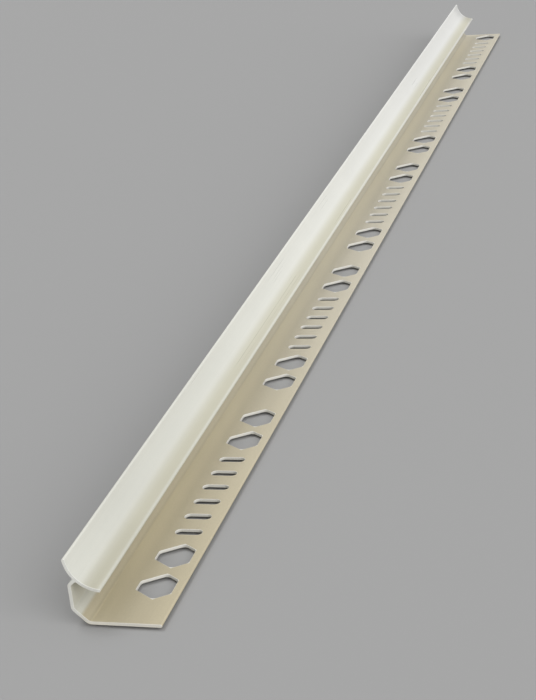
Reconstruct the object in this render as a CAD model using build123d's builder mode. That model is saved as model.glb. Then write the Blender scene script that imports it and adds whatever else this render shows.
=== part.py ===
"""Internal corner trim: one length of extruded PVC, punched for tile adhesive.

The section has a flat flange that is bedded behind a wall tile, a web that the
tile's edge stops against, and a cove that covers the inside corner. The cove's
lip reaches over the tile's face and its tip seals against the next wall.

X runs across the flange to its free edge, Y along the length and Z up from the
underside of the flange. The origin is the bottom centre of the whole piece.
All sizes are millimetres, and all angles degrees.
"""
import os
from math import ceil, cos, radians, sin, tan

from build123d import *

# The cut piece
LENGTH = 585.0
WALL = 0.8

# Flange, bevelled corner and web
FLANGE_WIDTH = 22.0  # outer face of the web to the free edge
CORNER_BEVEL = 3.8  # along the flange and along the web
FLANGE_BEND = 2.0  # bend radii, on the middle of the wall
WEB_BEND = 1.4

# Cove
TILE_THICKNESS = 8.0  # clear height between the flange and the lip
COVE_RADIUS = 8.1  # of the face that shows
TIP_SHORT = 5.0  # angle by which the tip stops short of upright
LIP_SHORT = 5.0  # angle by which the lip stops short of level
TIP_OVERHANG = 0.45  # reach of the tip behind the outer face of the web
JOIN_ANGLE = 42.5  # slope of the elbow that carries the web to the cove's back
ELBOW_BEND = 1.0
JOIN_FILLET = 0.4

# Punched pattern: a row of slots between two pairs of holes, again and again
PITCH = 120.0
FIRST_HOLE = 17.0  # near end to the middle of the first hole
END_CLEARANCE = 2.0  # least wall between a punching and the far end
ROW_TO_PAIR = 32.6  # middle of the slot row to the nearer hole of a pair
PAIR_SPACING = 14.7

# Holes, with two points along the length and a flat side towards each edge
HOLE_INSET = 5.9  # free edge to the two points
HOLE_LENGTH = 12.0  # from point to point, before the corners are rounded
HOLE_INNER_REACH = 5.5  # points to the side nearer the web
HOLE_INNER_SIDE = 4.0
HOLE_OUTER_REACH = 3.75  # points to the side nearer the free edge
HOLE_OUTER_SIDE = 6.4
HOLE_CORNER = 1.6

# Slots across the flange
SLOT_COUNT = 6
SLOT_SPACING = 8.2
SLOT_INSET = 6.8  # free edge to the middle of a slot
SLOT_LENGTH = 7.2
SLOT_WIDTH = 2.8

# Middle of the cove, from the tip's overhang and the tile's thickness
cove_x = (COVE_RADIUS + WALL / 2) * cos(radians(TIP_SHORT)) + WALL / 2 - TIP_OVERHANG
cove_z = (COVE_RADIUS + WALL) * cos(radians(LIP_SHORT)) + WALL + TILE_THICKNESS

# Middle line of the wall from the free edge to the back of the cove
bevel_middle = CORNER_BEVEL + WALL / 2 * tan(radians(45 / 2))
elbow_z = cove_z - (cove_x - WALL / 2) * tan(radians(JOIN_ANGLE))
join_radius = COVE_RADIUS + WALL * 3 / 4
join_x = cove_x - join_radius * cos(radians(JOIN_ANGLE))
join_z = cove_z - join_radius * sin(radians(JOIN_ANGLE))
backing_points = [
    (FLANGE_WIDTH - WALL / 2, WALL / 2),
    (bevel_middle, WALL / 2),
    (WALL / 2, bevel_middle),
    (WALL / 2, elbow_z),
    (join_x, join_z),
]

# Places along the length, counted from the near end
first_row = FIRST_HOLE + PAIR_SPACING + ROW_TO_PAIR - LENGTH / 2
rows = [first_row + unit * PITCH for unit in range(ceil(LENGTH / PITCH))]
pair_steps = [ROW_TO_PAIR, ROW_TO_PAIR + PAIR_SPACING]
hole_steps = [-step for step in pair_steps] + pair_steps
slot_steps = [(index - (SLOT_COUNT - 1) / 2) * SLOT_SPACING for index in range(SLOT_COUNT)]
hole_places = [row + step for row in rows for step in hole_steps]
slot_places = [row + step for row in rows for step in slot_steps]

# The section's box reaches from the tip to the free edge, so its middle is here
middle_x = (FLANGE_WIDTH - TIP_OVERHANG) / 2
section_plane = Plane(origin=(-middle_x, 0, 0), x_dir=(1, 0, 0), z_dir=(0, -1, 0))
punch_plane = Plane(origin=(FLANGE_WIDTH - middle_x, 0, -WALL))


def along_flange(inset, places, size):
    """Points at an inset from the free edge, where a punching of this size clears the far end."""
    last_place = LENGTH / 2 - END_CLEARANCE - size / 2
    return [(-inset, place) for place in places if place <= last_place]


# One hole's outline, with its points on the line x = 0
with BuildSketch() as hole_outline:
    with BuildLine():
        Polyline(
            (-HOLE_INNER_REACH, HOLE_INNER_SIDE / 2),
            (0, HOLE_LENGTH / 2),
            (HOLE_OUTER_REACH, HOLE_OUTER_SIDE / 2),
            (HOLE_OUTER_REACH, -HOLE_OUTER_SIDE / 2),
            (0, -HOLE_LENGTH / 2),
            (-HOLE_INNER_REACH, -HOLE_INNER_SIDE / 2),
            close=True,
        )
    make_face()
    fillet(hole_outline.vertices(), HOLE_CORNER)

with BuildPart() as corner_trim:
    # Flange, corner, web and elbow as one bent wall, and the cove as another
    with BuildSketch(section_plane) as section:
        with BuildLine():
            FilletPolyline(*backing_points, radius=[FLANGE_BEND, WEB_BEND, ELBOW_BEND])
            offset(amount=WALL / 2)
        make_face()
        with BuildLine():
            CenterArc(
                (cove_x, cove_z),
                COVE_RADIUS + WALL / 2,
                180 + TIP_SHORT,
                90 - TIP_SHORT - LIP_SHORT,
            )
            offset(amount=WALL / 2)
        make_face()
        join_corners = section.vertices().sort_by_distance((join_x, join_z))[:2]
        fillet(join_corners, JOIN_FILLET)
    extrude(amount=LENGTH / 2, both=True)

    # Adhesive keying punched through the flange
    with BuildSketch(punch_plane):
        with Locations(*along_flange(HOLE_INSET, hole_places, HOLE_LENGTH)):
            add(hole_outline.sketch)
        with Locations(*along_flange(SLOT_INSET, slot_places, SLOT_WIDTH)):
            SlotOverall(SLOT_LENGTH, SLOT_WIDTH)
    extrude(amount=3 * WALL, mode=Mode.SUBTRACT)

corner_trim.part.label = "corner_trim"

os.makedirs("parts", exist_ok=True)
export_step(corner_trim.part, "parts/corner_trim.step")
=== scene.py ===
from math import acos, asin, ceil, copysign, cos, pi, radians, sin, sqrt, tan

import bmesh
import bpy
from bpy.props import FloatProperty, FloatVectorProperty, IntProperty, PointerProperty
from mathutils import Euler, Matrix, Vector, noise


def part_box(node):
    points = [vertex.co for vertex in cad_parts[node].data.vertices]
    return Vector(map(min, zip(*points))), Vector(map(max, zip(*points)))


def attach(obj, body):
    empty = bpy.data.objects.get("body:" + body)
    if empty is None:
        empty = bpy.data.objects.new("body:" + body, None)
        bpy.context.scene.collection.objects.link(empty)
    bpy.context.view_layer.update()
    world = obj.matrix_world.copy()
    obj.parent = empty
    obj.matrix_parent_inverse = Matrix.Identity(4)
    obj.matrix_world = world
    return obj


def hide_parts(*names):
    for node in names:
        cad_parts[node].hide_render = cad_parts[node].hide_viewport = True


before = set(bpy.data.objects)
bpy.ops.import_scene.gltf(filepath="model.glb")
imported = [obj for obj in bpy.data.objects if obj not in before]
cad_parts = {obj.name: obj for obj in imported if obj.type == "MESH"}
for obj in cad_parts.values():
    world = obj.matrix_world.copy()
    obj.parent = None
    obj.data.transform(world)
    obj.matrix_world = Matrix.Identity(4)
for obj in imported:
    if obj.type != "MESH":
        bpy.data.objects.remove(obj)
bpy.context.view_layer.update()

bl_info = {
    "name": "Internal corner trim",
    "version": (1, 0, 0),
    "blender": (4, 5, 0),
    "location": "3D View > Sidebar > Corner trim",
    "description": "Models one punched length of internal corner trim and the studio it is shown in",
    "category": "Mesh",
}

NODE = "corner_trim"
BODY = "root"
MATERIAL = "ivory_pvc"
PVC_IOR = 1.53
MM = 0.001
WELD = 1e-7  # points nearer than this, in metres, are one point
BEVEL_TURN = radians(45)
SHADE_FLAT = radians(0.5)  # a face this near to level, or to a sawn end, is shaded flat
NODE_LOW, NODE_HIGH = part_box(NODE)


# Settings

def millimetres(name, description, size):
    """A length property with its default in millimetres."""
    return FloatProperty(name=name, description=description, default=size * MM, unit="LENGTH", precision=4)


def angle(name, description, size):
    """An angle property with its default in degrees."""
    return FloatProperty(name=name, description=description, default=radians(size), subtype="ANGLE")


def share(name, description, size):
    """A property from 0 to 1."""
    return FloatProperty(name=name, description=description, default=size, min=0, max=1, subtype="FACTOR")


def colour(name, description, values):
    """A linear colour property."""
    return FloatVectorProperty(name=name, description=description, default=values, subtype="COLOR",
                               min=0, max=1)


class TrimSection(bpy.types.PropertyGroup):
    """The extruded section, as in the CAD part"""

    length: FloatProperty(name="Length", description="From cut end to cut end", unit="LENGTH",
                          default=NODE_HIGH.y - NODE_LOW.y)
    wall: millimetres("Wall", "Thickness of the extruded wall", 0.8)
    flange_width: millimetres("Flange", "Outer face of the web to the free edge", 22.0)
    corner_bevel: millimetres("Corner bevel", "Bevel along the flange and along the web", 3.8)
    flange_bend: millimetres("Flange bend", "Bend between flange and bevel, mid wall", 2.0)
    web_bend: millimetres("Web bend", "Bend between bevel and web, mid wall", 1.4)
    tile: millimetres("Tile", "Clear height between the flange and the lip", 8.0)
    cove_radius: millimetres("Cove radius", "Radius of the face that shows", 8.1)
    tip_short: angle("Tip short", "Angle by which the tip stops short of upright", 5.0)
    lip_short: angle("Lip short", "Angle by which the lip stops short of level", 5.0)
    tip_overhang: millimetres("Tip overhang", "Reach of the tip behind the web", 0.45)
    join_angle: angle("Join angle", "Slope of the elbow that carries the web to the cove", 42.5)
    elbow_bend: millimetres("Elbow bend", "Bend between web and elbow, mid wall", 1.0)
    join_fillet: millimetres("Join fillet", "Fillet between the elbow and the cove's back", 0.4)
    chord: millimetres("Chord", "Largest gap between an arc and its edges", 0.004)
    end_break: millimetres("End break", "Rounding of the sawn edges", 0.07)


class TrimPunching(bpy.types.PropertyGroup):
    """The punched pattern along the flange, as in the CAD part"""

    pitch: millimetres("Pitch", "One repeat of the pattern", 120.0)
    first_hole: millimetres("First hole", "Near end to the middle of the first hole", 17.0)
    end_clearance: millimetres("End clearance", "Least wall between a punching and the far end", 2.0)
    row_to_pair: millimetres("Row to pair", "Middle of a slot row to the nearer hole of a pair", 32.6)
    pair_spacing: millimetres("Pair spacing", "Between the two holes of a pair", 14.7)
    hole_inset: millimetres("Hole inset", "Free edge to the points of a hole", 5.9)
    hole_length: millimetres("Hole length", "From point to point, before its corners are rounded", 12.0)
    hole_inner_reach: millimetres("Inner reach", "Points to the side nearer the web", 5.5)
    hole_inner_side: millimetres("Inner side", "Length of the side nearer the web", 4.0)
    hole_outer_reach: millimetres("Outer reach", "Points to the side nearer the free edge", 3.75)
    hole_outer_side: millimetres("Outer side", "Length of the side nearer the free edge", 6.4)
    hole_corner: millimetres("Hole corner", "Radius of a hole's corners", 1.6)
    slot_count: IntProperty(name="Slots", description="Slots in one row", default=6, min=1)
    slot_spacing: millimetres("Slot spacing", "Between neighbouring slots", 8.2)
    slot_inset: millimetres("Slot inset", "Free edge to the middle of a slot", 6.8)
    slot_length: millimetres("Slot length", "Across the flange", 7.2)
    slot_width: millimetres("Slot width", "Along the flange", 2.8)
    rim_reach: millimetres("Rim reach", "How far the punch lifts the face around an opening", 0.28)
    rim_height: millimetres("Rim height", "How high the punch lifts it", 0.05)
    rim_unevenness: share("Rim unevenness", "How much that height varies along an edge", 0.5)
    rim_wave: millimetres("Rim wave", "Length over which it varies", 3.0)
    lower_break: millimetres("Lower break", "Rounding of an opening's lower edge", 0.1)


class TrimFinish(bpy.types.PropertyGroup):
    """Colours and gloss of the extruded plastic, some of them painted light and shade"""

    ivory: colour("Ivory", "Near end of the cove", (0.775, 0.775, 0.70))
    # Painted light: the cove's far-end colour makes it brighter towards its far end
    far_lit_ivory: colour("Bleached", "Far end of the cove", (0.79, 0.79, 0.765))
    # Cream is the plastic's yellower tone near the lip, made darker than the ivory as painted shade
    cream: colour("Cream", "Cove near its lip, and its back", (0.63, 0.61, 0.49))
    # Painted highlight on the lip's edge, and painted light that makes the web paler than the cream
    paleness: share("Paleness", "How far the lip's edge and the web go from cream to ivory", 0.6)
    beige: colour("Beige", "Near end of the flange", (0.57, 0.505, 0.35))
    # Painted light: the flange's far-end colour makes it brighter towards its far end
    far_lit_beige: colour("Pale beige", "Far end of the flange", (0.63, 0.585, 0.472))
    whitened: colour("Whitened", "Plastic stressed by the punch and the saw", (0.80, 0.80, 0.76))
    punched_whitening: share("Punched whitening", "Strength along the punched edges", 0.75)
    sawn_whitening: share("Sawn whitening", "Strength on the sawn ends", 0.6)
    whitening_reach: millimetres("Whitening reach", "How far it spreads from a punched edge", 0.18)
    whitening_sway: millimetres("Whitening sway", "How much that distance varies", 0.2)
    cove_roughness: share("Cove roughness", "Satin gloss of the face that shows", 0.30)
    flange_roughness: share("Flange roughness", "Duller flange", 0.50)
    line_roughness: share("Line roughness", "How much the lines from the die vary it", 0.12)
    cloud_roughness: share("Cloud roughness", "How much broad patches vary it", 0.08)
    sawn_roughness: share("Sawn roughness", "How much duller the sawn ends are", 0.25)


class TrimTone(bpy.types.PropertyGroup):
    """Brightness of the colours over the trim, much of it painted light and shade"""

    cove: share("Cove", "Brightness of the cove", 0.85)
    # Painted light and shade: the cove is made brighter towards its tip and darker on the upright web
    tip: share("Tip", "How much brighter its tip is", 0.08)
    web: share("Web", "How much darker the upright web is", 0.05)
    flange: share("Flange", "Brightness of the flange", 0.84)
    # Painted light: the flange is made brighter along its bend under the cove and along its free edge
    bend: share("Bend", "How much brighter it is along its bend", 0.38)
    free_edge: share("Free edge", "How much brighter it is along its free edge", 0.10)
    # Painted light: the far half of the trim is made brighter, more on the cove and less on the flange
    far_light: share("Fading", "How much brighter the far half is", 0.14)
    cove_far_light: share("Cove fading", "How much more the cove fades", 0.05)
    flange_far_light: share("Flange fading", "How much less the flange fades", 0.12)
    # Painted shade: the slot under the cove, and the flange in it, are darker towards the near end
    near_shade: share("Handling", "How much darker the slot is at the near end", 0.10)
    flange_near_shade: share("Flange handling", "How much more so on the flange", 0.07)
    clouds: share("Clouds", "How much broad patches vary it", 0.10)
    lines: share("Lines", "How much the lines from the die vary it", 0.05)
    specks: share("Specks", "How much fine specks vary it", 0.03)
    flange_specks: share("Flange specks", "How much more so on the flange", 0.07)


class TrimGrain(bpy.types.PropertyGroup):
    """Size and height of the surface's fine relief"""

    cloud: millimetres("Cloud", "Size of broad patches", 22.0)
    speck: millimetres("Speck", "Size of fine specks", 0.45)
    speck_height: millimetres("Speck height", "Height of the specks on the flange", 0.012)
    cove_specks: share("Cove specks", "Share of that height elsewhere", 0.3)
    line: millimetres("Die line", "Width of the lines that the die leaves", 0.5)
    line_height: millimetres("Die line height", "Height of those lines", 0.008)
    wave: millimetres("Wave", "Size of the slow waves in the wall", 60.0)
    wave_height: millimetres("Wave height", "Height of those waves", 0.12)
    saw_mark: millimetres("Saw mark", "Width of the marks on the sawn ends", 0.25)
    saw_depth: millimetres("Saw depth", "Depth of those marks", 0.06)


class TrimStage(bpy.types.PropertyGroup):
    """Floor, light and camera"""

    floor: colour("Floor", "Plain floor", (0.362, 0.362, 0.362))
    floor_roughness: share("Floor roughness", "Matt surface", 0.9)
    floor_size: FloatProperty(name="Floor size", description="Side of the floor", default=60.0,
                              unit="LENGTH")
    floor_gap: millimetres("Floor gap", "Air under a strip that isn't quite straight", 0.7)
    sky: FloatProperty(name="Sky", description="Even light from all round", default=0.45)
    key: FloatProperty(name="Key", description="Light from above and behind on the left", default=0.95)
    key_spread: angle("Key spread", "Apparent size of that light", 34.0)
    key_turn: angle("Key turn", "Its direction, counted from the front towards the right", 248.0)
    key_height: angle("Key height", "Its height above the horizon", 66.0)
    fill: FloatProperty(name="Fill", description="Low light from the right", default=2.35)
    fill_spread: angle("Fill spread", "Apparent size of that light", 70.0)
    fill_turn: angle("Fill turn", "Its direction, counted from the front towards the right", 50.0)
    fill_height: angle("Fill height", "Its height above the horizon", 22.0)
    eye: FloatVectorProperty(name="Eye", description="Camera's place", subtype="TRANSLATION",
                             unit="LENGTH", default=(0.14450, -0.61864, 0.21017))
    eye_turn: FloatVectorProperty(name="Eye turn", description="Camera's angles", subtype="EULER",
                                  unit="ROTATION",
                                  default=(radians(67.552), radians(5.983), radians(14.618)))
    lens: FloatProperty(name="Lens", description="Focal length", default=89.9,
                        subtype="DISTANCE_CAMERA")
    sensor: FloatProperty(name="Sensor", description="Longer side of the sensor", default=36.0,
                          subtype="DISTANCE_CAMERA")
    nearest_view: millimetres("Nearest view", "Nearest distance that the camera shows", 10.0)


# Section and pattern, worked out from the settings

class SectionLayout:
    """Lengths that the drawing and the finish share.

    web_x and free_edge_x are places in the frame. The others count X from the web's outer face.
    """

    def __init__(self, section):
        wall = section.wall
        self.web_x = -(section.flange_width - section.tip_overhang) / 2
        self.free_edge_x = self.web_x + section.flange_width
        self.back_radius = section.cove_radius + wall
        middle_radius = section.cove_radius + wall / 2
        self.cove_x = middle_radius * cos(section.tip_short) + wall / 2 - section.tip_overhang
        self.cove_z = self.back_radius * cos(section.lip_short) + wall + section.tile
        self.elbow_turn = pi / 2 - section.join_angle
        flange_tangent = section.flange_bend * tan(BEVEL_TURN / 2)
        web_tangent = section.web_bend * tan(BEVEL_TURN / 2)
        elbow_tangent = section.elbow_bend * tan(self.elbow_turn / 2)
        bevel_middle = section.corner_bevel + wall / 2 * tan(BEVEL_TURN / 2)
        elbow_z = self.cove_z - (self.cove_x - wall / 2) * tan(section.join_angle)
        fillet_side = wall / 2 + section.join_fillet
        fillet_reach = self.back_radius + section.join_fillet
        self.fillet_lean = asin(fillet_side / fillet_reach)
        self.flat_start = bevel_middle + flange_tangent
        self.flat_end = section.flange_width - wall / 2
        self.bevel_run = sqrt(2) * (bevel_middle - wall / 2) - flange_tangent - web_tangent
        self.web_run = elbow_z - bevel_middle - web_tangent - elbow_tangent
        self.elbow_run = (
            (self.cove_x - wall / 2) / cos(section.join_angle)
            - elbow_tangent
            - sqrt(fillet_reach ** 2 - fillet_side ** 2)
        )


def first_row_place(section, punching):
    """Where the middle of the first row of slots lies along Y."""
    return punching.first_hole + punching.pair_spacing + punching.row_to_pair - section.length / 2


def punching_places(section, punching):
    """Each punching as (place along Y, whether it is a hole), from the near end on."""
    first_row = first_row_place(section, punching)
    pair = (punching.row_to_pair, punching.row_to_pair + punching.pair_spacing)
    middle = (punching.slot_count - 1) / 2
    steps = [(side * step, True) for side in (-1, 1) for step in pair]
    steps += [((index - middle) * punching.slot_spacing, False) for index in range(punching.slot_count)]
    rows = [first_row + unit * punching.pitch for unit in range(ceil(section.length / punching.pitch))]
    reach = {True: punching.hole_length / 2, False: punching.slot_width / 2}
    places = [(row + step, is_hole) for row in rows for step, is_hole in steps]
    last = section.length / 2 - punching.end_clearance
    return sorted(place for place in places if place[0] + reach[place[1]] <= last)


# Drawing with mesh operators

class Pen:
    """Draws straight runs and tangent arcs as one chain of edges. A positive turn is to the left."""

    def __init__(self, bm, start, heading, axis, chord):
        self.bm = bm
        self.vert = bmesh.ops.create_vert(bm, co=start)["vert"][0]
        self.heading = Vector(heading)
        self.axis = Vector(axis)
        self.chord = chord

    def run(self, length):
        """A straight run. One too short to matter is left out."""
        if length < WELD:
            return
        self.vert = bmesh.ops.extrude_vert_indiv(self.bm, verts=[self.vert])["verts"][0]
        bmesh.ops.translate(self.bm, verts=[self.vert], vec=self.heading * length)

    def arc(self, radius, turn):
        """An arc that leaves the chain's end without a corner."""
        steps = ceil(abs(turn) / (2 * acos(1 - self.chord / radius)))
        centre = self.vert.co + self.axis.cross(self.heading) * copysign(radius, turn)
        made = bmesh.ops.spin(self.bm, geom=[self.vert], cent=centre, axis=self.axis,
                              angle=turn, steps=steps)
        self.vert = next(item for item in made["geom_last"] if isinstance(item, bmesh.types.BMVert))
        self.heading = Matrix.Rotation(turn, 3, self.axis) @ self.heading


def draw_section(bm, section, layout):
    """Draws the section at the near end, open where the flange is flat, and returns its edges."""
    wall, half = section.wall, section.wall / 2
    near = -section.length / 2
    fillet_turn = pi / 2 - layout.fillet_lean
    back_turn = section.join_angle - layout.fillet_lean - section.tip_short
    under_turn = pi / 2 - section.lip_short - section.join_angle - layout.fillet_lean
    before = set(bm.edges)

    edge = Pen(bm, (layout.web_x + layout.flat_end, near, wall), (1, 0, 0), (0, -1, 0), section.chord)
    edge.arc(half, -pi)

    pen = Pen(bm, (layout.web_x + layout.flat_start, near, 0), (-1, 0, 0), (0, -1, 0), section.chord)
    pen.arc(section.flange_bend + half, -BEVEL_TURN)
    pen.run(layout.bevel_run)
    pen.arc(section.web_bend + half, -BEVEL_TURN)
    pen.run(layout.web_run)
    pen.arc(section.elbow_bend + half, -layout.elbow_turn)
    pen.run(layout.elbow_run)
    pen.arc(section.join_fillet, fillet_turn)
    pen.arc(layout.back_radius, -back_turn)
    pen.arc(half, -pi)
    pen.arc(section.cove_radius, pi / 2 - section.tip_short - section.lip_short)
    pen.arc(half, -pi)
    pen.arc(layout.back_radius, -under_turn)
    pen.arc(section.join_fillet, fillet_turn)
    pen.run(layout.elbow_run)
    pen.arc(section.elbow_bend - half, layout.elbow_turn)
    pen.run(layout.web_run)
    pen.arc(section.web_bend - half, BEVEL_TURN)
    pen.run(layout.bevel_run)
    pen.arc(section.flange_bend - half, BEVEL_TURN)
    return [item for item in bm.edges if item not in before]


def draw_ring(bm, corners, radius, grow, height, chord):
    """Draws a convex outline with rounded corners, grown outwards, and returns its edges."""
    count = len(corners)
    sides = [corners[(index + 1) % count] - corners[index] for index in range(count)]
    turns = [sides[index - 1].angle(sides[index]) for index in range(count)]
    tangents = [radius * tan(turn / 2) for turn in turns]
    before = set(bm.edges)
    heading = sides[0].normalized().to_3d()
    start = corners[0].to_3d() + heading * tangents[0] + heading.cross((0, 0, 1)) * grow
    pen = Pen(bm, start + Vector((0, 0, height)), heading, (0, 0, 1), chord)
    for index in range(count):
        following = (index + 1) % count
        pen.run(sides[index].length - tangents[index] - tangents[following])
        pen.arc(radius + grow, turns[following])
    drawn = {vert for item in bm.edges if item not in before for vert in item.verts}
    bmesh.ops.remove_doubles(bm, verts=list(drawn), dist=WELD)
    return [item for item in bm.edges if item not in before]


class Opening:
    """The wall of one punched opening, drawn once at the origin and copied to each place."""

    # Out from the wall and up: shares of the lifted rim's size, and of the lower edge's rounding
    RIM = ((1, 0), (0.72, 0.5), (0.45, 1), (0.18, 0.8), (0.03, 0.1))
    LOWER_EDGE = ((0, 1), (0.3, 0.3), (1, 0))

    def __init__(self, bm, corners, radius, section, punching):
        self.bm = bm
        reach, lift, low = punching.rim_reach, punching.rim_height, punching.lower_break
        profile = [(out * reach, section.wall + up * lift) for out, up in self.RIM]
        profile.append((0, section.wall - 2 * lift))
        profile += [(out * low, up * low) for out, up in self.LOWER_EDGE]
        before = set(bm.verts)
        ring = draw_ring(bm, corners, radius, *profile[0], section.chord)
        cap = bmesh.ops.contextual_create(bm, geom=ring)["faces"][0]
        if cap.normal.z < 0:
            bmesh.ops.reverse_faces(bm, faces=[cap])
        for (grow, height), (next_grow, next_height) in zip(profile, profile[1:]):
            bmesh.ops.inset_region(bm, faces=[cap], thickness=grow - next_grow,
                                   depth=next_height - height, use_even_offset=True, use_boundary=True)
        self.bottom = list(cap.edges)
        bmesh.ops.delete(bm, geom=[cap], context="FACES_ONLY")
        self.verts = [vert for vert in bm.verts if vert not in before]
        rims = {item for vert in self.verts for item in vert.link_edges if item.is_boundary}
        self.top = list(rims.difference(self.bottom))

    def copy_to(self, place):
        """Copies the wall to a place and returns the copy's top and bottom edges."""
        geometry = list({face for vert in self.verts for face in vert.link_faces})
        copy = bmesh.ops.duplicate(self.bm, geom=geometry)
        verts = [item for item in copy["geom"] if isinstance(item, bmesh.types.BMVert)]
        bmesh.ops.translate(self.bm, verts=verts, vec=place)
        edges = copy["edge_map"]
        return [edges[item] for item in self.top], [edges[item] for item in self.bottom]

    def remove(self):
        """Deletes the first wall, which is only there to be copied."""
        bmesh.ops.delete(self.bm, geom=self.verts, context="VERTS")


def hole_corners(punching):
    """The six corners of a hole, with its points on x = 0."""
    inner, outer = -punching.hole_inner_reach, punching.hole_outer_reach
    return [
        Vector((outer, -punching.hole_outer_side / 2)),
        Vector((outer, punching.hole_outer_side / 2)),
        Vector((0, punching.hole_length / 2)),
        Vector((inner, punching.hole_inner_side / 2)),
        Vector((inner, -punching.hole_inner_side / 2)),
        Vector((0, -punching.hole_length / 2)),
    ]


def slot_corners(punching):
    """The four corners of a slot's box."""
    half_length, half_width = punching.slot_length / 2, punching.slot_width / 2
    return [
        Vector((half_length, -half_width)),
        Vector((half_length, half_width)),
        Vector((-half_length, half_width)),
        Vector((-half_length, -half_width)),
    ]


def nearest(verts, x, z):
    """The vertex nearest to a point of the section."""
    return min(verts, key=lambda vert: (vert.co.x - x) ** 2 + (vert.co.z - z) ** 2)


def model_body(section, punching):
    """The whole length of trim as one closed mesh in metres."""
    layout = SectionLayout(section)
    bm = bmesh.new()
    hole = Opening(bm, hole_corners(punching), punching.hole_corner, section, punching)
    slot = Opening(bm, slot_corners(punching), punching.slot_width / 2, section, punching)
    places = punching_places(section, punching)
    middles = [place for place, is_hole in places]
    stations = [(low + high) / 2 for low, high in zip(middles, middles[1:])] + [section.length / 2]
    left, right = layout.web_x + layout.flat_start, layout.web_x + layout.flat_end
    row_x = {True: layout.free_edge_x - punching.hole_inset,
             False: layout.free_edge_x - punching.slot_inset}

    # The section is extruded from station to station, and each stretch of the flange has one opening
    edges = draw_section(bm, section, layout)
    corners = section_corners(edges, left, right, section.wall)
    rungs = [cross_flange(bm, corners)]
    cells = []
    y = -section.length / 2
    for station, (place, is_hole) in zip(stations, places):
        made = bmesh.ops.extrude_edge_only(bm, edges=edges)["geom"]
        verts = [item for item in made if isinstance(item, bmesh.types.BMVert)]
        bmesh.ops.translate(bm, verts=verts, vec=(0, station - y, 0))
        y = station
        edges = [item for item in made if isinstance(item, bmesh.types.BMEdge)]
        edges = [item for item in edges if all(abs(vert.co.y - station) < WELD for vert in item.verts)]
        previous, corners = corners, section_corners(edges, left, right, section.wall)
        rungs.append(cross_flange(bm, corners))
        top, bottom = (hole if is_hole else slot).copy_to((row_x[is_hole], place, 0))
        for face, ring in enumerate((top, bottom)):
            sides = [bm.edges.get((previous[face][end], corners[face][end])) for end in (0, 1)]
            cells.append([rungs[-2][face], rungs[-1][face], *sides, *ring])
    hole.remove()
    slot.remove()
    fill_cells(bm, cells)
    close_ends(bm, section)
    roughen_rims(bm, section, punching, left, right)
    return bm


def fill_cells(bm, cells):
    """Fills the flange around each opening, in millimetres, the scale that the filling works well at."""
    bmesh.ops.scale(bm, verts=bm.verts, vec=Vector.Fill(3, 1 / MM))
    for edges in cells:
        bmesh.ops.triangle_fill(bm, edges=edges, use_beauty=True, normal=(0, 0, 1))
    bmesh.ops.scale(bm, verts=bm.verts, vec=Vector.Fill(3, MM))


def section_corners(edges, left, right, wall):
    """The section's corners at the flat of the flange: the top pair, then the bottom pair."""
    verts = {vert for item in edges for vert in item.verts}
    return [[nearest(verts, x, z) for x in (left, right)] for z in (wall, 0)]


def cross_flange(bm, corners):
    """An edge across the top of the flange and one across its underside."""
    return [bmesh.ops.contextual_create(bm, geom=pair)["edges"][0] for pair in corners]


def close_ends(bm, section):
    """Fills both sawn ends and takes the sharpness off their edges."""
    rims = []
    for end in (-section.length / 2, section.length / 2):
        rim = [item for item in bm.edges if all(abs(vert.co.y - end) < WELD for vert in item.verts)]
        bmesh.ops.edgeloop_fill(bm, edges=rim)
        rims += rim
    bmesh.ops.recalc_face_normals(bm, faces=bm.faces)
    bmesh.ops.bevel(bm, geom=rims, offset=section.end_break, offset_type="OFFSET", segments=2,
                    profile=0.5, affect="EDGES", material=-1, clamp_overlap=True)
    many_sided = [face for face in bm.faces if len(face.verts) > 4]
    bmesh.ops.triangulate(bm, faces=many_sided, quad_method="BEAUTY", ngon_method="BEAUTY")


def roughen_rims(bm, section, punching, left, right):
    """Varies the height of the lifted rims, as a worn punch leaves them."""
    for vert in bm.verts:
        lift = vert.co.z - section.wall
        if WELD < lift < 2 * punching.rim_height and left < vert.co.x < right:
            wander = noise.noise(vert.co / punching.rim_wave)
            vert.co.z = section.wall + lift * (1 + punching.rim_unevenness * wander)


def mesh_piece(name, bm):
    """A new object at the origin that holds the mesh."""
    mesh = bpy.data.meshes.new(name)
    bm.to_mesh(mesh)
    bm.free()
    piece = bpy.data.objects.new(name, mesh)
    bpy.context.scene.collection.objects.link(piece)
    return piece


# Materials

class Signal:
    """One value in a material's maths. An operator between values adds a Math node."""

    def __init__(self, finish, socket):
        self.finish = finish
        self.socket = socket

    def __add__(self, other):
        return self.finish.math("ADD", self, other)

    def __sub__(self, other):
        return self.finish.math("SUBTRACT", self, other)

    def __rsub__(self, other):
        return self.finish.math("SUBTRACT", other, self)

    def __mul__(self, other):
        return self.finish.math("MULTIPLY", self, other)

    def __mod__(self, other):
        return self.finish.math("FLOORED_MODULO", self, other)

    def __abs__(self):
        return self.finish.math("ABSOLUTE", self)

    def __pow__(self, other):
        return self.finish.math("POWER", self, other)

    __radd__ = __add__
    __rmul__ = __mul__

    def most(self, other):
        return self.finish.math("MAXIMUM", self, other)

    def least(self, other):
        return self.finish.math("MINIMUM", self, other)

    def sway(self, strength):
        """Noise from 0 to 1 made to swing about 0, with this strength."""
        return (self - 0.5) * strength

    def rise(self, low, high):
        """0 below low, 1 above high and smooth between."""
        made = self.finish.node("ShaderNodeMapRange", {"interpolation_type": "SMOOTHSTEP"},
                                {"Value": self, "From Min": low, "From Max": high})
        return Signal(self.finish, made.outputs["Result"])


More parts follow.
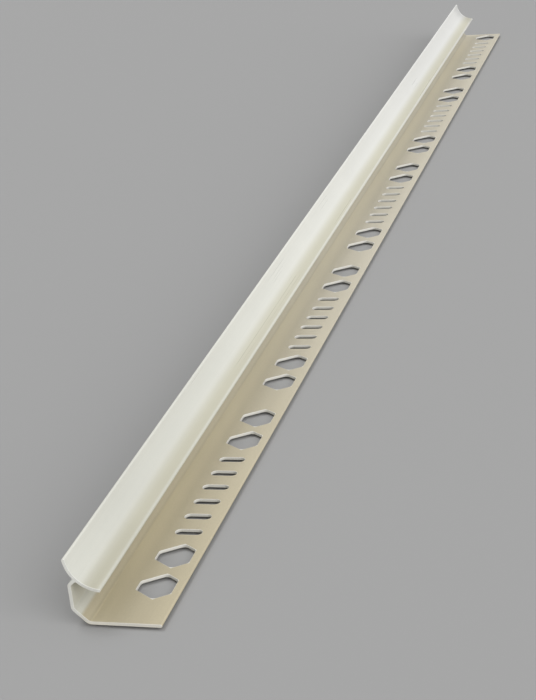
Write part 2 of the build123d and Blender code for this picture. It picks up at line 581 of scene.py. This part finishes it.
class Finish:
    """A material and its nodes."""

    def __init__(self, name):
        self.material = bpy.data.materials.new(name)
        self.material.use_nodes = True
        self.tree = self.material.node_tree
        self.tree.nodes.clear()
        place = self.node("ShaderNodeTexCoord").outputs["Object"]
        self.place = Signal(self, place)
        split = self.node("ShaderNodeSeparateXYZ", {}, {"Vector": self.place})
        self.x, self.y, self.z = (Signal(self, split.outputs[axis]) for axis in "XYZ")

    def node(self, kind, settings=None, inputs=None):
        made = self.tree.nodes.new(kind)
        for name, value in (settings or {}).items():
            setattr(made, name, value)
        for name, value in (inputs or {}).items():
            if isinstance(value, Signal):
                self.tree.links.new(value.socket, made.inputs[name])
            else:
                made.inputs[name].default_value = value
        return made

    def math(self, operation, *values):
        made = self.node("ShaderNodeMath", {"operation": operation}, dict(enumerate(values)))
        return Signal(self, made.outputs[0])

    def mix(self, first, second, factor):
        """A colour between two colours, through the Mix node's colour sockets."""
        made = self.node("ShaderNodeMix", {"data_type": "RGBA"}, {0: factor, 6: first, 7: second})
        return Signal(self, made.outputs[2])

    def shade(self, tint, factor):
        """A colour multiplied by a value."""
        made = self.node("ShaderNodeVectorMath", {"operation": "SCALE"}, {0: tint, "Scale": factor})
        return Signal(self, made.outputs[0])

    def grain(self, size, stretch, detail=2.0):
        """Noise from 0 to 1 whose features are about this size, stretched along each axis."""
        scale = [1 / (size * factor) for factor in stretch]
        where = self.node("ShaderNodeVectorMath", {"operation": "MULTIPLY"}, {0: self.place, 1: scale})
        made = self.node("ShaderNodeTexNoise", {},
                         {"Vector": Signal(self, where.outputs[0]), "Scale": 1.0, "Detail": detail})
        return Signal(self, made.outputs["Fac"])

    def bump(self, height, distance, normal=None):
        inputs = {"Height": height, "Distance": distance, "Strength": 1.0}
        if normal is not None:
            inputs["Normal"] = normal
        return Signal(self, self.node("ShaderNodeBump", {}, inputs).outputs["Normal"])

    def surface(self, inputs):
        """The shader and the material's output."""
        shader = self.node("ShaderNodeBsdfPrincipled", {}, inputs)
        self.node("ShaderNodeOutputMaterial", {}, {"Surface": Signal(self, shader.outputs[0])})
        return self.material


def edge_distance(finish, section, punching):
    """Distance in metres from the edge of the nearest opening, measured over the flange."""
    layout = SectionLayout(section)
    # Along Y from the middle of the nearest row of slots, and from the middle of the nearest hole
    half_pitch = punching.pitch / 2
    before_row = first_row_place(section, punching) - half_pitch
    from_row = abs((finish.y - before_row) % punching.pitch - half_pitch)
    half_pair = punching.pair_spacing / 2
    along = abs(abs(from_row - (punching.row_to_pair + half_pair)) - half_pair)

    # A hole is what lies inside all its sides
    across = finish.x - (layout.free_edge_x - punching.hole_inset)
    hole = (across - punching.hole_outer_reach).most(-punching.hole_inner_reach - across)
    point = punching.hole_length / 2
    for reach, side in ((punching.hole_outer_reach, punching.hole_outer_side),
                        (-punching.hole_inner_reach, punching.hole_inner_side)):
        rise = point - side / 2
        slope = Vector((copysign(rise, reach), abs(reach))).normalized()
        hole = hole.most(across * slope.x + (along - point) * slope.y)

    # A slot is what lies within half its width of its middle line
    spacing = punching.slot_spacing
    last_slot = (punching.slot_count - 1) / 2 * spacing
    from_last = from_row - last_slot
    from_slot = abs((from_last - spacing / 2) % spacing - spacing / 2).most(from_last)
    straight = (punching.slot_length - punching.slot_width) / 2
    past = (abs(finish.x - (layout.free_edge_x - punching.slot_inset)) - straight).most(0.0)
    slot = (past * past + from_slot * from_slot) ** 0.5 - punching.slot_width / 2
    return hole.least(slot)


class Zones:
    """Masks from 0 to 1 over the parts of the trim that differ in tint, and over those where light and
    shade are painted.

    A pair of values gives where a mask begins to change and where it has changed.
    """

    BEVEL = (2.1 * MM, 2.9 * MM)  # up from the underside, and across from the web's outer face
    UPRIGHT = (0.9 * MM, 1.6 * MM)  # across from that face, as are the next three
    COVE_SHADE_SPAN = (5.5 * MM, 10 * MM)
    INNER = (6 * MM, 13 * MM)
    OUTER = (15.5 * MM, 21 * MM)
    UPPER = (0.2 * MM, 2.2 * MM)  # up from the lip, as is the next
    TIP_START = 2 * MM
    LIP_WIDTH = 0.6 * MM
    OVER_FLANGE = (0.5, 0.6)  # shares of the lip's height
    BEND_RISE = 0.14 * MM  # height above the flat of the flange
    SAWN = (0.35 * MM, 0.05 * MM)  # in from both ends
    NEAR_SHADE_SPAN = 45 * MM  # in from the near end, over which the painted shade in the slot fades out
    FAR_LIGHT_SPAN = 0.45  # share of the length, from the near end, over which the painted far-end light rises

    def __init__(self, finish, section):
        y, z = finish.y, finish.z
        layout = SectionLayout(section)
        across = finish.x - layout.web_x
        near, far = -section.length / 2, section.length / 2
        lip_x = layout.cove_x - section.cove_radius * sin(section.lip_short)
        lip_z = layout.cove_z - section.cove_radius * cos(section.lip_short)
        # Ivory above, cream below: the cream's darkness is painted shade on the lower cove
        self.upper = z.rise(*(lip_z + height for height in self.UPPER))
        # Painted highlight: the cove grows brighter towards its tip
        self.tip = z.rise(lip_z + self.TIP_START, layout.cove_z)
        lower = 1 - self.upper
        over_flange = z.rise(*(lip_z * part for part in self.OVER_FLANGE))
        # Painted highlight along the lip's rounded edge, and painted light on the web: both are tinted
        # towards ivory
        self.lip_edge = across.rise(lip_x - self.LIP_WIDTH, lip_x) * over_flange
        self.web = (1 - across.rise(*self.BEVEL)) * lower
        # Painted shade: the upright web is darker
        self.upright = (1 - across.rise(*self.UPRIGHT)) * lower
        self.flange = 1 - z.rise(*self.BEVEL)
        self.flat = 1 - z.rise(section.wall, section.wall + self.BEND_RISE) ** 0.5
        # Painted light: masks that brighten the flange along its bend and its free edge
        self.inner = 1 - across.rise(*self.INNER)
        self.outer = across.rise(*self.OUTER)
        # Painted light: masks that brighten the trim towards its far end
        self.far_lit = y.rise(near, near + self.FAR_LIGHT_SPAN * section.length)
        self.lit_towards_far = y.rise(near, far)
        # Painted shade: the slot under the cove, darkest at the near end
        cove_shaded = (1 - across.rise(*self.COVE_SHADE_SPAN)) * lower
        self.near_shaded = (1 - y.rise(near, near + self.NEAR_SHADE_SPAN)) * cove_shaded
        self.sawn = abs(y).rise(*(far - depth for depth in self.SAWN))


def trim_tint(finish, zones, look):
    """Ivory on the cove, cream at its lip and beige on the flange. All are paler towards the far end, and
    the lip's edge and the web are paler than the cream, as painted light; the cream is darker than the
    ivory as painted shade.
    """
    ivory = finish.mix((*look.ivory, 1), (*look.far_lit_ivory, 1), zones.lit_towards_far)
    beige = finish.mix((*look.beige, 1), (*look.far_lit_beige, 1), zones.far_lit)
    # Painted highlight at the lip's edge and painted light on the web
    pale = zones.upper.most(zones.lip_edge.most(zones.web) * look.paleness)
    return finish.mix(finish.mix((*look.cream, 1), ivory, pale), beige, zones.flange)


def tone_and_painted_light(zones, tone, cloud, lines, speck):
    """Brightness of the tint, uneven in patches, lines and specks, with painted light and shade over the
    cove, the flange and the length.
    """
    # Painted light and shade on the cove: brighter tip, darker web
    cove = tone.cove + zones.tip * tone.tip - zones.upright * tone.web
    # Painted light on the flange, along its bend and its free edge
    flat = tone.flange + zones.inner * tone.bend + zones.outer * tone.free_edge
    # Painted light: brighter towards the far end
    far_light = tone.far_light + zones.upper * tone.cove_far_light - zones.flange * tone.flange_far_light
    # Painted shade in the slot towards the near end
    near_shade = tone.near_shade + zones.flat * tone.flange_near_shade
    specks = tone.specks + zones.flange * tone.flange_specks
    shade = cove + zones.flat * (flat - cove) + zones.far_lit * far_light - zones.near_shaded * near_shade
    return shade + cloud.sway(tone.clouds) + lines.sway(tone.lines) + speck.sway(specks)


def pvc_finish(section, punching, look, tone, grain):
    """Extruded PVC: ivory and satin on the cove, beige and duller on the flange."""
    finish = Finish(MATERIAL)
    zones = Zones(finish, section)
    cloud = finish.grain(grain.cloud, (1, 2.5, 1), 3.0)
    speck = finish.grain(grain.speck, (1, 1.6, 1))
    lines = finish.grain(grain.line, (1, 400, 1), 3.0)
    wave = finish.grain(grain.wave, (0.3, 1, 0.3))
    saw_marks = finish.grain(grain.saw_mark, (1, 1, 20))

    # The tint times its brightness, which carries painted light and shade
    tint = finish.shade(trim_tint(finish, zones, look), tone_and_painted_light(zones, tone, cloud, lines, speck))
    edge = edge_distance(finish, section, punching) + speck.sway(look.whitening_sway)
    punched = (1 - edge.rise(0.0, look.whitening_reach)) * zones.flange
    whitening = (punched * look.punched_whitening).most(zones.sawn * look.sawn_whitening)
    tint = finish.mix(tint, (*look.whitened, 1), whitening)

    rough = look.cove_roughness + zones.flange * (look.flange_roughness - look.cove_roughness)
    rough = rough + lines.sway(look.line_roughness) + cloud.sway(look.cloud_roughness)
    rough = rough + zones.sawn * look.sawn_roughness

    speck_share = grain.cove_specks + zones.flange * (1 - grain.cove_specks)
    normal = finish.bump(wave, grain.wave_height)
    normal = finish.bump(lines, grain.line_height, normal)
    normal = finish.bump(speck * speck_share, grain.speck_height, normal)
    normal = finish.bump(saw_marks * zones.sawn, grain.saw_depth, normal)
    return finish.surface({"Base Color": tint, "Roughness": rough, "Normal": normal, "IOR": PVC_IOR})


def floor_finish(stage):
    """A plain matt floor."""
    finish = Finish("studio_floor")
    return finish.surface({"Base Color": (*stage.floor, 1), "Roughness": stage.floor_roughness})


# Operators

class TRIM_OT_body(bpy.types.Operator):
    """Model the extruded and punched length of trim"""

    bl_idname = "trim.body"
    bl_label = "Trim body"

    def execute(self, context):
        scene = context.scene
        section, punching = scene.trim_section, scene.trim_punching
        piece = mesh_piece("trim_body", model_body(section, punching))
        flat = cos(SHADE_FLAT)
        for face in piece.data.polygons:
            face.use_smooth = max(abs(face.normal.y), abs(face.normal.z)) < flat
        finish = pvc_finish(section, punching, scene.trim_finish, scene.trim_tone, scene.trim_grain)
        piece.data.materials.append(finish)
        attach(piece, BODY)
        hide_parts(NODE)
        return {"FINISHED"}


class TRIM_OT_stage(bpy.types.Operator):
    """Set up the floor, the light and the camera"""

    bl_idname = "trim.stage"
    bl_label = "Stage"

    def execute(self, context):
        scene, stage = context.scene, context.scene.trim_stage
        bm = bmesh.new()
        bmesh.ops.create_grid(bm, x_segments=1, y_segments=1, size=stage.floor_size / 2)
        bmesh.ops.translate(bm, verts=bm.verts, vec=(0, 0, -stage.floor_gap))
        floor = mesh_piece("studio_floor", bm)
        floor.data.materials.append(floor_finish(stage))

        world = bpy.data.worlds.new("studio_light")
        world.use_nodes = True
        background = world.node_tree.nodes["Background"]
        background.inputs["Color"].default_value = (1, 1, 1, 1)
        background.inputs["Strength"].default_value = stage.sky
        scene.world = world

        for name in ("key", "fill"):
            lamp = bpy.data.lights.new(f"{name}_light", "SUN")
            lamp.energy = getattr(stage, name)
            lamp.angle = getattr(stage, f"{name}_spread")
            light = bpy.data.objects.new(f"{name}_light", lamp)
            tilt = pi / 2 - getattr(stage, f"{name}_height")
            light.rotation_euler = Euler((tilt, 0, getattr(stage, f"{name}_turn")))
            scene.collection.objects.link(light)

        camera = bpy.data.cameras.new("photo_camera")
        camera.lens = stage.lens
        camera.sensor_width = stage.sensor
        camera.clip_start = stage.nearest_view
        eye = bpy.data.objects.new("photo_camera", camera)
        eye.location = stage.eye
        eye.rotation_euler = stage.eye_turn
        scene.collection.objects.link(eye)
        scene.camera = eye
        scene.view_settings.view_transform = "Standard"
        return {"FINISHED"}


class TRIM_PT_sidebar(bpy.types.Panel):
    """Corner trim settings and operators"""

    bl_label = "Corner trim"
    bl_space_type = "VIEW_3D"
    bl_region_type = "UI"
    bl_category = "Corner trim"

    def draw(self, context):
        for operator in OPERATORS:
            self.layout.operator(operator.bl_idname)
        for name, group in GROUPS.items():
            box = self.layout.box()
            box.label(text=group.__doc__)
            for setting in group.__annotations__:
                box.prop(getattr(context.scene, name), setting)


GROUPS = {
    "trim_section": TrimSection,
    "trim_punching": TrimPunching,
    "trim_finish": TrimFinish,
    "trim_tone": TrimTone,
    "trim_grain": TrimGrain,
    "trim_stage": TrimStage,
}
OPERATORS = (TRIM_OT_body, TRIM_OT_stage)


def register():
    for item in (*GROUPS.values(), *OPERATORS, TRIM_PT_sidebar):
        bpy.utils.register_class(item)
    for name, group in GROUPS.items():
        setattr(bpy.types.Scene, name, PointerProperty(type=group))


def unregister():
    for name in GROUPS:
        delattr(bpy.types.Scene, name)
    for item in (TRIM_PT_sidebar, *reversed(OPERATORS), *reversed(GROUPS.values())):
        bpy.utils.unregister_class(item)


def main():
    register()
    bpy.ops.trim.body()
    bpy.ops.trim.stage()


if __name__ == "__main__":
    main()
